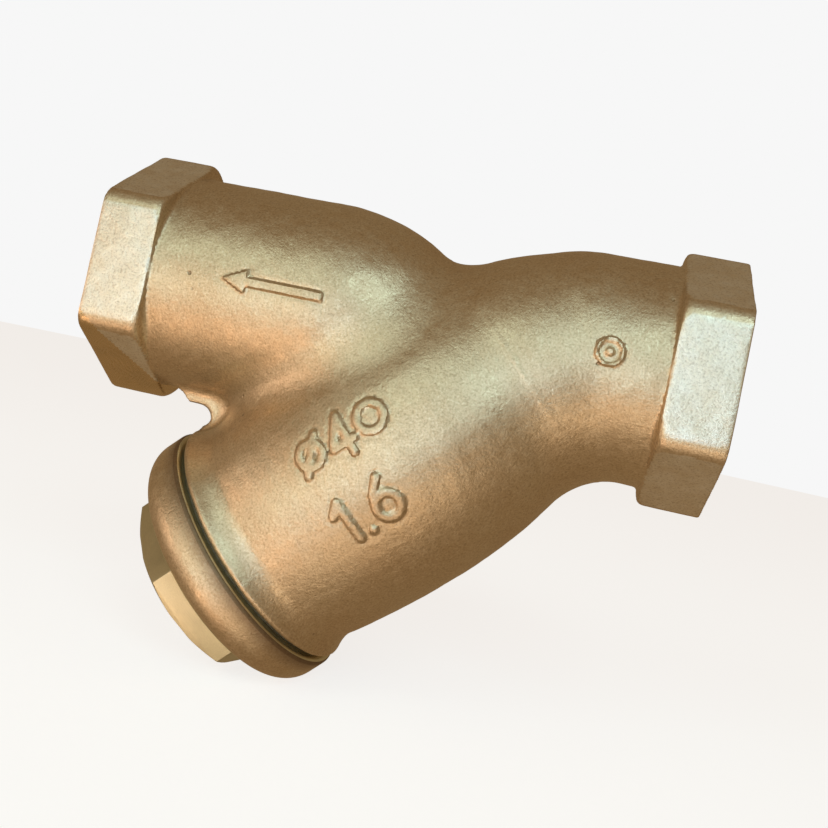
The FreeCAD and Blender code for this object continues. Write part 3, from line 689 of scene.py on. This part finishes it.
def make_body(cast, machined):
    margin = 2.0
    low = (-FACE_TO_FACE - margin, -BARREL_RADIUS - margin, -88.0)
    high = (margin, BARREL_RADIUS + margin, HEX_FLATS / math.sqrt(3.0) + margin)
    body = field_object("cast_body", body_field, low, high, 0.6)
    carve(body, *body_tools())
    sharpen(body)
    paint_shade_and_wear(body, marked_outside)
    places = places_of(body.data)
    along, _ = about(RUN, places)
    from_end = np.minimum(along, FACE_TO_FACE - along)
    on_flat = np.abs(hexagon_side(places)) < 0.12
    store(body.data, "rubbed", on_flat & (from_end < HEX_LENGTH + 0.5))
    paint(body, [cast, machined], body_finish)
    return body


def hexagon_side(places):
    """Distance out to the nearest flat of the pipe hexagons."""
    turn = np.arctan2(places[:, 2], places[:, 1])
    turn = np.mod(turn + math.pi / 6, math.pi / 3) - math.pi / 6
    return np.hypot(places[:, 1], places[:, 2]) * np.cos(turn) - HEX_FLATS / 2.0


FLANGE_TOP = GASKET_END + 12.2
FLANGE_ROUND = 6.8
FLANGE_UNDER_ROUND = 1.2
FACED_RADIUS = 25.9         # machined top of the flange
FACED_EDGE = 1.3            # bright edge turned on it, at 45 degrees
CAP_HEX_FLATS = 43.6 / 34.0 * CAP_OUTER
CAP_HEX_TURN = math.radians(10.0)
CAP_HEX_CHAMFER = math.radians(30.0)
CAP_SUMP_RADIUS = SCREEN_RADIUS - 5.0
CAP_CROWN = 7.0


def flange_outline():
    under = (GASKET_END + FLANGE_UNDER_ROUND, CAP_OUTER - FLANGE_UNDER_ROUND)
    shoulder = (FLANGE_TOP - FLANGE_ROUND, CAP_OUTER - FLANGE_ROUND)
    outline = [(GASKET_END, 0), (GASKET_END, CAP_ROOT_RADIUS), (GASKET_END, GASKET_OUTER)]
    outline += arc(under, FLANGE_UNDER_ROUND, 180, 90, 8)
    outline += arc(shoulder, FLANGE_ROUND, 90, 18, 16)
    return outline + [(FLANGE_TOP - FACED_EDGE, FACED_RADIUS + FACED_EDGE),
                      (FLANGE_TOP, FACED_RADIUS), (FLANGE_TOP, 0)]


def cap_hexagon():
    """Head of the cap: hexagon with its outer corners turned off to a cone."""
    corner = CAP_HEX_FLATS / math.sqrt(3.0)
    face_radius = CAP_HEX_FLATS / 2.0 + 0.3
    fall = (corner + 1.0 - face_radius) * math.tan(CAP_HEX_CHAMFER)
    guard = turned("guard", BRANCH, [(FLANGE_TOP - 1.0, 0), (FLANGE_TOP - 1.0, corner + 1.0),
                                     (CAP_END - fall, corner + 1.0), (CAP_END, face_radius),
                                     (CAP_END, 0)])
    turns = math.pi / 2.0 + CAP_HEX_TURN + np.arange(6) * math.pi / 3.0
    rows = np.array([[FLANGE_TOP - 0.9], [CAP_END + 1.0]])
    wall = placed(BRANCH, rows + 0 * turns, corner + 0 * rows + 0 * turns, turns + 0 * rows)
    poles = [at(BRANCH, rows[0, 0], 0), at(BRANCH, rows[1, 0], 0)]
    head = tube_mesh("head", wall.reshape(-1, 3), 2, 6, poles)
    carve(head, guard, operation="INTERSECT")
    soften = head.modifiers.new("soften", "BEVEL")
    soften.width = 0.35 * MM
    soften.segments = 3
    soften.limit_method = "ANGLE"
    soften.angle_limit = math.radians(20.0)
    head.data = bpy.data.meshes.new_from_object(
        head.evaluated_get(bpy.context.evaluated_depsgraph_get()))
    head.modifiers.clear()
    return head


def cap_finish(places):
    along, out = about(BRANCH, places)
    cast = ((along > GASKET_END + 0.3) & (along < FLANGE_TOP - FACED_EDGE - 0.01)
            & (out > FACED_RADIUS))
    return ~cast


def make_cap(cast, machined):
    cap = turned("cast_cap", BRANCH, flange_outline(), 192)
    root_end = BRANCH_LENGTH - 1.4
    spigot = threaded("spigot", BRANCH, CAP_START, root_end, CAP_ROOT_RADIUS,
                      CAP_CREST_RADIUS - CAP_ROOT_RADIUS, 0.52, BRANCH_LENGTH)
    neck = turned("neck", BRANCH, [(root_end - 2.0, 0), (root_end - 2.0, CAP_ROOT_RADIUS - 0.1),
                                   (GASKET_END + 1.0, CAP_ROOT_RADIUS - 0.1),
                                   (GASKET_END + 1.0, 0)])
    carve(cap, cap_hexagon(), neck, spigot, operation="UNION")
    pocket = turned("pocket", BRANCH, [(CAP_START - 1.0, 0), (CAP_START - 1.0, SOCKET_RADIUS + 0.8),
                                       (CAP_START, SOCKET_RADIUS + 0.6),
                                       (CAP_START + 0.6, SOCKET_RADIUS),
                                       (SCREEN_END, SOCKET_RADIUS), (SCREEN_END, 0)])
    sump = turned("sump", BRANCH, [(CAP_START - 1.0, 0), (CAP_START - 1.0, CAP_SUMP_RADIUS),
                                   (CAP_END - CAP_CROWN - 2.0, CAP_SUMP_RADIUS),
                                   (CAP_END - CAP_CROWN, CAP_SUMP_RADIUS - 2.0),
                                   (CAP_END - CAP_CROWN, 0)])
    carve(cap, pocket, sump)
    sharpen(cap)
    along, out = about(BRANCH, places_of(cap.data))
    # Painted shade on the flange's foot beside the gasket, stored in the same mask as the shade in the hollows.
    foot_shade = np.exp(-((along - GASKET_END - 0.3) / 1.0) ** 2) * (out > GASKET_OUTER)
    store(cap.data, "painted_shade", np.clip(foot_shade, 0, 1))
    store(cap.data, "edge", np.zeros(len(along)))
    store(cap.data, "rubbed", np.zeros(len(along)))
    paint(cap, [cast, machined], cap_finish)
    return cap


def make_gasket(material):
    bulge = 0.1
    outer = GASKET_OUTER - 0.9
    middle = (BRANCH_LENGTH + GASKET_END) / 2.0
    outline = [(BRANCH_LENGTH, GASKET_INNER), (BRANCH_LENGTH, outer - 0.1),
               (middle, outer + bulge), (GASKET_END, outer - 0.1),
               (GASKET_END, GASKET_INNER), (middle, GASKET_INNER - 0.1)]
    gasket = hoop("sealing_gasket", outline)
    paint(gasket, [material], lambda places: np.zeros(len(places)))
    return gasket


def hoop(name, outline, segments=144):
    """Closed ring whose section is the outline."""
    ring = np.array(outline)
    turn = np.arange(segments) * math.tau / segments
    wall = placed(BRANCH, ring[:, None, 0] + 0 * turn, ring[:, None, 1] + 0 * turn,
                  turn[None] + 0 * ring[:, None, 0]).reshape(-1, 3)
    rows = len(ring)
    row, i = np.meshgrid(np.arange(rows), np.arange(segments), indexing="ij")
    j, below = (i + 1) % segments, (row + 1) % rows
    faces = np.stack([row * segments + i, row * segments + j, below * segments + j,
                      below * segments + i], -1).reshape(-1, 4)
    return sharpen(mesh_object(name, wall, faces))


def wires(line_points, radius):
    """Four-sided tubes along lines of (along, out, turn) points; closed where they meet."""
    along, out, turn = line_points
    places = placed(BRANCH, along, out, turn)
    ahead = np.roll(places, -1, axis=1) - np.roll(places, 1, axis=1)
    ahead[:, 0] = places[:, 1] - places[:, 0]
    ahead[:, -1] = places[:, -1] - places[:, -2]
    ahead /= np.linalg.norm(ahead, axis=2, keepdims=True)
    outward = places - placed(BRANCH, along, 0.0 * out, turn)
    outward /= np.linalg.norm(outward, axis=2, keepdims=True)
    aside = np.cross(ahead, outward)
    corners = [outward, aside, -outward, -aside]
    wall = np.stack([places + corner * radius for corner in corners], 2)
    lines, steps = wall.shape[:2]
    index = np.arange(lines * steps * 4).reshape(lines, steps, 4)
    after = np.roll(index, -1, axis=2)
    quads = np.stack([index[:, :-1], after[:, :-1], after[:, 1:], index[:, 1:]], -1)
    ends = np.concatenate([index[:, 0, ::-1], index[:, -1]])
    return wall.reshape(-1, 3), np.concatenate([quads.reshape(-1, 4), ends])


def make_liner(material):
    """Woven wire cloth inside the perforated tube: plain weave, each wire over and under."""
    start, end, inner, outer = reach("mesh_liner")
    middle = (inner + outer) / 2.0
    wire, wave = 0.09, 0.055
    uprights = 90
    hoops = 2 * int((end - start) / 3.1)
    gap = (end - start) / hoops
    lift = np.arange(2 * hoops + 1) * gap / 2.0
    number = np.arange(uprights)[:, None]
    over = wave * np.sin(math.pi * lift / gap) * np.where(number % 2, 1.0, -1.0)
    upright = (start + lift + 0 * number, middle + over,
               number * math.tau / uprights + 0 * lift)
    around = np.arange(2 * uprights + 1) * math.pi / uprights
    number = np.arange(hoops)[:, None]
    over = wave * np.cos(uprights * around) * np.where(number % 2, 1.0, -1.0)
    hoop_line = (start + (number + 0.5) * gap + 0 * around, middle + over, around + 0 * number)
    first, second = wires(upright, wire), wires(hoop_line, wire)
    cloth = mesh_object("wire_cloth", np.concatenate([first[0], second[0]]),
                        np.concatenate([first[1], second[1] + len(first[0])]))
    paint(cloth, [material], lambda places: np.zeros(len(places)))
    return cloth


def make_strip(material):
    """Lap strip over the seam of the sheet, dimpled where it is spot-welded."""
    start, end, inner, outer = reach("seam_strip")
    places = np.array([v.co for v in frame["nodes"]["seam_strip"].data.vertices], float) / MM
    from_line = places - BRANCH[0]
    turns = np.arctan2(from_line @ np.cross(BRANCH[1], BRANCH[2]), from_line @ BRANCH[2])
    along = np.linspace(start, end, 3 * int(end - start))[:, None]
    turn = np.linspace(turns.min(), turns.max(), 22)[None]
    middle = (turns.min() + turns.max()) / 2.0
    spot_gap, spot_radius, spot_depth = 7.0, 0.9, 0.22
    to_spot = np.mod(along - start, spot_gap) - spot_gap / 2.0
    away = np.hypot(to_spot, (turn - middle) * outer)
    dimple = spot_depth * np.exp(-(away / spot_radius) ** 2)
    rolled = 0.25 * np.clip((np.abs(turn - middle) / (turns.max() - middle) - 0.9) / 0.1, 0, 1)
    top = placed(BRANCH, along + 0 * turn, outer - dimple - rolled, turn + 0 * along)
    under = placed(BRANCH, along + 0 * turn, inner + 0 * dimple, turn + 0 * along)
    rows, columns = top.shape[:2]
    index = np.arange(rows * columns).reshape(rows, columns)
    base = index + rows * columns
    grid = [np.stack([g[:-1, :-1], g[:-1, 1:], g[1:, 1:], g[1:, :-1]], -1).reshape(-1, 4)
            for g in (index, base[:, ::-1])]
    edge = np.concatenate([index[0], index[1:, -1], index[-1, -2::-1], index[-2:0:-1, 0]])
    after = np.roll(edge, -1)
    skirt = np.stack([after, edge, edge + rows * columns, after + rows * columns], -1)
    strip = mesh_object("lap_strip", np.concatenate([top.reshape(-1, 3), under.reshape(-1, 3)]),
                        np.concatenate(grid + [skirt]))
    paint(sharpen(strip), [material], lambda faces: np.zeros(len(faces)))
    return strip


# ---- materials -------------------------------------------------------------------------
class Nodes:
    """Short way to build a material's node tree."""

    def __init__(self, name):
        self.material = bpy.data.materials.new(name)
        self.material.use_nodes = True
        self.tree = self.material.node_tree
        self.shader = self.tree.nodes["Principled BSDF"]
        self.place = self.add("ShaderNodeTexCoord").outputs["Object"]

    def add(self, kind, **inputs):
        node = self.tree.nodes.new(kind)
        for name, value in inputs.items():
            self.put(node, name.replace("_", " "), value)
        return node

    def put(self, node, name, value):
        socket = node.inputs[name] if isinstance(name, str) else name
        if isinstance(value, bpy.types.NodeSocket):
            self.tree.links.new(value, socket)
        else:
            socket.default_value = value

    def noise(self, scale, detail=3.0, roughness=0.55, place=None):
        node = self.add("ShaderNodeTexNoise", Vector=place or self.place, Scale=scale,
                        Detail=detail, Roughness=roughness)
        return node.outputs["Fac"]

    def attribute(self, name):
        node = self.add("ShaderNodeAttribute")
        node.attribute_name = name
        return node.outputs["Fac"]

    def span(self, value, low, high, to_low=0.0, to_high=1.0):
        node = self.add("ShaderNodeMapRange", Value=value)
        for index, bound in enumerate((low, high, to_low, to_high), start=1):
            self.put(node, node.inputs[index], bound)
        return node.outputs["Result"]

    def math(self, kind, a, b=0.0):
        node = self.add("ShaderNodeMath")
        node.operation = kind
        self.put(node, node.inputs[0], a)
        self.put(node, node.inputs[1], b)
        return node.outputs[0]

    def mix(self, factor, a, b, kind="MIX"):
        node = self.add("ShaderNodeMix")
        node.data_type = "RGBA"
        node.blend_type = kind
        for index, value in ((0, factor), (6, a), (7, b)):
            self.put(node, node.inputs[index], value)
        return node.outputs[2]

    def bump(self, height, distance, strength=1.0, normal=None):
        node = self.add("ShaderNodeBump", Height=height, Distance=distance, Strength=strength)
        if normal is not None:
            self.put(node, "Normal", normal)
        return node.outputs["Normal"]


def cast_bronze():
    """Sand-cast bronze: fine grain, slow changes of tone, painted shade in the hollows."""
    n = Nodes("cast_bronze")
    champagne, copper = (0.66, 0.54, 0.37, 1), (0.62, 0.48, 0.31, 1)
    base = n.mix(n.span(n.noise(38.0, 2.0), 0.4, 0.65), champagne, copper)
    silvered = (0.84, 0.81, 0.72, 1)
    patches = n.span(n.noise(160.0, 4.0), 0.38, 0.62, 0.55, 0.85)
    base = n.mix(n.math("MULTIPLY", patches, n.attribute("rubbed")), base, silvered)
    grain = n.noise(1900.0, 3.0, 0.6)
    base = n.mix(n.span(grain, 0.3, 0.5, 0.42, 0.0), base, (0.26, 0.18, 0.10, 1))
    base = n.mix(n.span(grain, 0.55, 0.7, 0.0, 0.4), base, (0.86, 0.78, 0.60, 1))
    # Painted shade: the hollow mask darkens the base colour towards dark brown, and makes those places a little
    # rougher.
    painted_shade = n.span(n.attribute("painted_shade"), 0.08, 0.55)
    base = n.mix(n.math("MULTIPLY", painted_shade, 0.8), base, (0.13, 0.075, 0.035, 1))
    edge = n.span(n.attribute("edge"), 0.1, 0.6, 0.0, 0.35)
    base = n.mix(edge, base, (0.80, 0.70, 0.50, 1))
    pit = n.add("ShaderNodeTexVoronoi", Vector=n.place, Scale=210.0).outputs["Distance"]
    pit = n.math("MULTIPLY", n.span(pit, 0.07, 0.12, 1.0, 0.0),
                 n.span(n.noise(90.0, 1.0), 0.66, 0.70))
    base = n.mix(n.math("MULTIPLY", pit, 0.6), base, (0.16, 0.10, 0.05, 1))
    n.put(n.shader, "Base Color", base)
    n.put(n.shader, "Metallic", 0.95)
    rough = n.span(n.noise(420.0, 3.0), 0.3, 0.7, 0.36, 0.48)
    n.put(n.shader, "Roughness", n.math("ADD", rough, n.math("MULTIPLY", painted_shade, 0.15)))
    skin = n.bump(n.noise(620.0, 3.0, 0.6), 0.00028, 0.35)
    skin = n.bump(grain, 0.00012, 0.65, skin)
    skin = n.bump(n.span(pit, 0.0, 1.0, 1.0, 0.0), 0.0003, 0.6, skin)
    n.put(n.shader, "Normal", skin)
    return n.material


def turned_metal(name, colour, roughness, line):
    """Metal off the lathe: fine rings about a centre line."""
    n = Nodes(name)
    start = line[0] * MM
    shifted = n.add("ShaderNodeVectorMath")
    shifted.operation = "SUBTRACT"
    n.put(shifted, shifted.inputs[0], n.place)
    n.put(shifted, shifted.inputs[1], tuple(start))
    along = n.add("ShaderNodeVectorMath")
    along.operation = "DOT_PRODUCT"
    n.put(along, along.inputs[0], shifted.outputs[0])
    n.put(along, along.inputs[1], tuple(line[1]))
    length = n.add("ShaderNodeVectorMath")
    length.operation = "LENGTH"
    n.put(length, length.inputs[0], shifted.outputs[0])
    squares = n.math("SUBTRACT", n.math("POWER", length.outputs["Value"], 2.0),
                     n.math("POWER", along.outputs["Value"], 2.0))
    out = n.math("SQRT", n.math("MAXIMUM", squares, 0.0))
    rings = n.add("ShaderNodeCombineXYZ", X=out, Y=along.outputs["Value"], Z=0.0).outputs[0]
    marks = n.noise(5200.0, 2.0, 0.7, rings)
    base = n.mix(n.span(marks, 0.3, 0.7, 0.0, 0.5), colour,
                 tuple(c * 0.78 for c in colour[:3]) + (1,))
    base = n.mix(n.span(n.noise(120.0, 4.0), 0.5, 0.75, 0.0, 0.4), base,
                 tuple(c * 0.6 for c in colour[:3]) + (1,))
    n.put(n.shader, "Base Color", base)
    n.put(n.shader, "Metallic", 1.0)
    n.put(n.shader, "Roughness", n.span(marks, 0.3, 0.7, roughness - 0.05, roughness + 0.1))
    n.put(n.shader, "Normal", n.bump(marks, 0.00004, 0.5))
    return n.material


def gasket_fibre():
    n = Nodes("gasket_fibre")
    fibre = n.noise(900.0, 5.0, 0.7)
    n.put(n.shader, "Base Color", n.mix(n.span(fibre, 0.35, 0.65), (0.10, 0.085, 0.055, 1),
                                        (0.20, 0.17, 0.11, 1)))
    n.put(n.shader, "Roughness", n.span(fibre, 0.3, 0.7, 0.75, 0.95))
    n.put(n.shader, "Normal", n.bump(fibre, 0.00006, 0.7))
    return n.material


def stainless(name, colour, roughness, streak):
    """Rolled stainless steel: faint streaks along the sheet and a few dull clouds."""
    n = Nodes(name)
    stretched = n.add("ShaderNodeMapping", Vector=n.place, Scale=(1.0, streak, 1.0))
    rolled = n.noise(1500.0, 3.0, 0.6, stretched.outputs["Vector"])
    cloud = n.noise(60.0, 4.0)
    base = n.mix(n.span(rolled, 0.3, 0.7, 0.0, 0.5), colour,
                 tuple(c * 0.75 for c in colour[:3]) + (1,))
    base = n.mix(n.span(cloud, 0.5, 0.7, 0.0, 0.3), base, (0.42, 0.37, 0.30, 1))
    n.put(n.shader, "Base Color", base)
    n.put(n.shader, "Metallic", 1.0)
    n.put(n.shader, "Roughness", n.span(rolled, 0.3, 0.7, roughness - 0.06, roughness + 0.08))
    n.put(n.shader, "Normal", n.bump(rolled, 0.00003, 0.4))
    return n.material


# ---- putting it together ---------------------------------------------------------------
bronze = cast_bronze()
bored = turned_metal("machined_bronze", (0.78, 0.60, 0.36, 1), 0.26, RUN)
brass = turned_metal("machined_brass", (0.68, 0.65, 0.46, 1), 0.34, BRANCH)
fibre = gasket_fibre()
sheet = stainless("stainless_sheet", (0.66, 0.65, 0.62, 1), 0.30, 0.08)
wire = stainless("stainless_wire", (0.55, 0.54, 0.52, 1), 0.38, 1.0)


def settle_piece(piece, body, slot, *nodes):
    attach(piece, body)
    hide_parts(*nodes)


settle_piece(make_body(bronze, bored), "housing", "cast_bronze", "valve_body")
settle_piece(make_cap(bronze, brass), "closure", "cast_bronze", "cap")
settle_piece(make_gasket(fibre), "screen_set", "gasket", "cap_gasket")
settle_piece(make_liner(wire), "screen_set", "stainless_mesh", "mesh_liner")
settle_piece(make_strip(sheet), "screen_set", "stainless_sheet", "seam_strip")
for name in ("screen_tube", "screen_top_ring", "screen_bottom_ring"):
    node = frame["nodes"][name]
    node.data.materials.clear()
    node.data.materials.append(sheet)


# ---- camera, floor and light -----------------------------------------------------------
CAMERA_PLACE = (-0.03276, -0.25104, -0.01376)
CAMERA_AIM = Vector((-0.1697, 0.9848, 0.0358))
CAMERA_UP = Vector((-0.2004, -0.0700, 0.9772))
CAMERA_LENS = 43.41
CAMERA_SHIFT = (-0.0063, -0.0811)
PAPER = (0.93, 0.93, 0.93, 1)
PAPER_GLOW = 0.82           # the rest of the floor's brightness is light that shadows dim
FLOOR_RADIUS = 3.0          # metres
FLOOR_SIDES = 96


def turned_to(aim, up):
    """Rotation that looks along aim with up upwards in the picture."""
    back = -aim.normalized()
    side = up.cross(back).normalized()
    return Matrix((side, back.cross(side), back)).transposed().to_4x4()


def make_camera():
    lens = bpy.data.cameras.new("camera")
    lens.lens = CAMERA_LENS
    lens.sensor_width = 36.0
    lens.shift_x, lens.shift_y = CAMERA_SHIFT
    lens.clip_start = 0.01
    camera = bpy.data.objects.new("camera", lens)
    camera.matrix_world = Matrix.Translation(CAMERA_PLACE) @ turned_to(CAMERA_AIM, CAMERA_UP)
    bpy.context.scene.collection.objects.link(camera)
    bpy.context.scene.camera = camera


def soft_light(name, place, aim, size, power, colour):
    lamp = bpy.data.lights.new(name, "AREA")
    lamp.shape = "DISK"
    lamp.size = size
    lamp.energy = power
    lamp.color = colour
    light = bpy.data.objects.new(name, lamp)
    aim = Vector(aim) - Vector(place)
    light.matrix_world = (Matrix.Translation(place)
                          @ turned_to(aim, Vector((0.0, 0.1, 1.0))))
    light.visible_camera = False
    bpy.context.scene.collection.objects.link(light)


def make_stage():
    """Pale floor under the part's lowest point; the pale surround is the sky."""
    mesh = bpy.data.meshes.new("floor")
    turns = [i * math.tau / FLOOR_SIDES for i in range(FLOOR_SIDES)]
    ring = [(FLOOR_RADIUS * math.cos(turn), FLOOR_RADIUS * math.sin(turn), cad_box[0].z)
            for turn in turns]
    mesh.from_pydata(ring, [], [tuple(range(FLOOR_SIDES))])
    floor = bpy.data.objects.new("floor", mesh)
    bpy.context.scene.collection.objects.link(floor)
    n = Nodes("floor_paper")
    n.put(n.shader, "Base Color", (0.45, 0.45, 0.45, 1))
    n.put(n.shader, "Roughness", 0.9)
    n.put(n.shader, "Specular IOR Level", 0.0)
    n.put(n.shader, "Emission Color", PAPER)
    n.put(n.shader, "Emission Strength", PAPER_GLOW)
    mesh.materials.append(n.material)
    floor.visible_diffuse = floor.visible_glossy = floor.visible_shadow = False


def make_sky():
    """Pale to the camera; dim and warm as light, so that upper faces stay dark."""
    world = bpy.data.worlds.new("studio")
    world.use_nodes = True
    bpy.context.scene.world = world
    tree = world.node_tree
    seen = tree.nodes["Background"]
    seen.inputs["Color"].default_value = PAPER
    seen.inputs["Strength"].default_value = 1.0
    cast = tree.nodes.new("ShaderNodeBackground")
    cast.inputs["Color"].default_value = SKY_COLOUR
    cast.inputs["Strength"].default_value = SKY_STRENGTH
    path = tree.nodes.new("ShaderNodeLightPath")
    choose = tree.nodes.new("ShaderNodeMixShader")
    tree.links.new(path.outputs["Is Camera Ray"], choose.inputs[0])
    tree.links.new(cast.outputs[0], choose.inputs[1])
    tree.links.new(seen.outputs[0], choose.inputs[2])
    tree.links.new(choose.outputs[0], tree.nodes["World Output"].inputs["Surface"])


SKY_COLOUR = (1.0, 0.66, 0.33, 1)
SKY_STRENGTH = 0.27
LIGHT_DISTANCE = 0.9
LIGHT_SIZE = 0.45
# Degrees round from the viewer's side, degrees up, power in watts, colour.
LIGHTS = {
    "front": (0, -5, 1.55, (0.61, 0.83, 1.0)),
    "left": (-60, -5, 1.0, (1.0, 0.73, 0.58)),
    "front_left": (-25, -5, 0.85, (1.0, 0.97, 0.81)),
    "high_left": (-25, 30, 1.0, (0.72, 1.0, 0.99)),
    "high_right": (25, 30, 1.85, (0.61, 0.92, 1.0)),
    "low_left": (-25, -40, 1.25, (1.0, 0.67, 0.47)),
    "low_right": (25, -40, 0.9, (1.0, 0.78, 0.58)),
}


def place_lights():
    middle = (cad_box[0] + cad_box[1]) / 2.0
    for name, (round_from, up, power, colour) in LIGHTS.items():
        turn, rise = math.radians(round_from), math.radians(up)
        way = Vector((math.sin(turn) * math.cos(rise), -math.cos(turn) * math.cos(rise),
                      math.sin(rise)))
        soft_light(name, middle + way * LIGHT_DISTANCE, middle, LIGHT_SIZE, power, colour)


make_camera()
make_stage()
make_sky()
place_lights()
bpy.context.scene.view_settings.view_transform = "Standard"
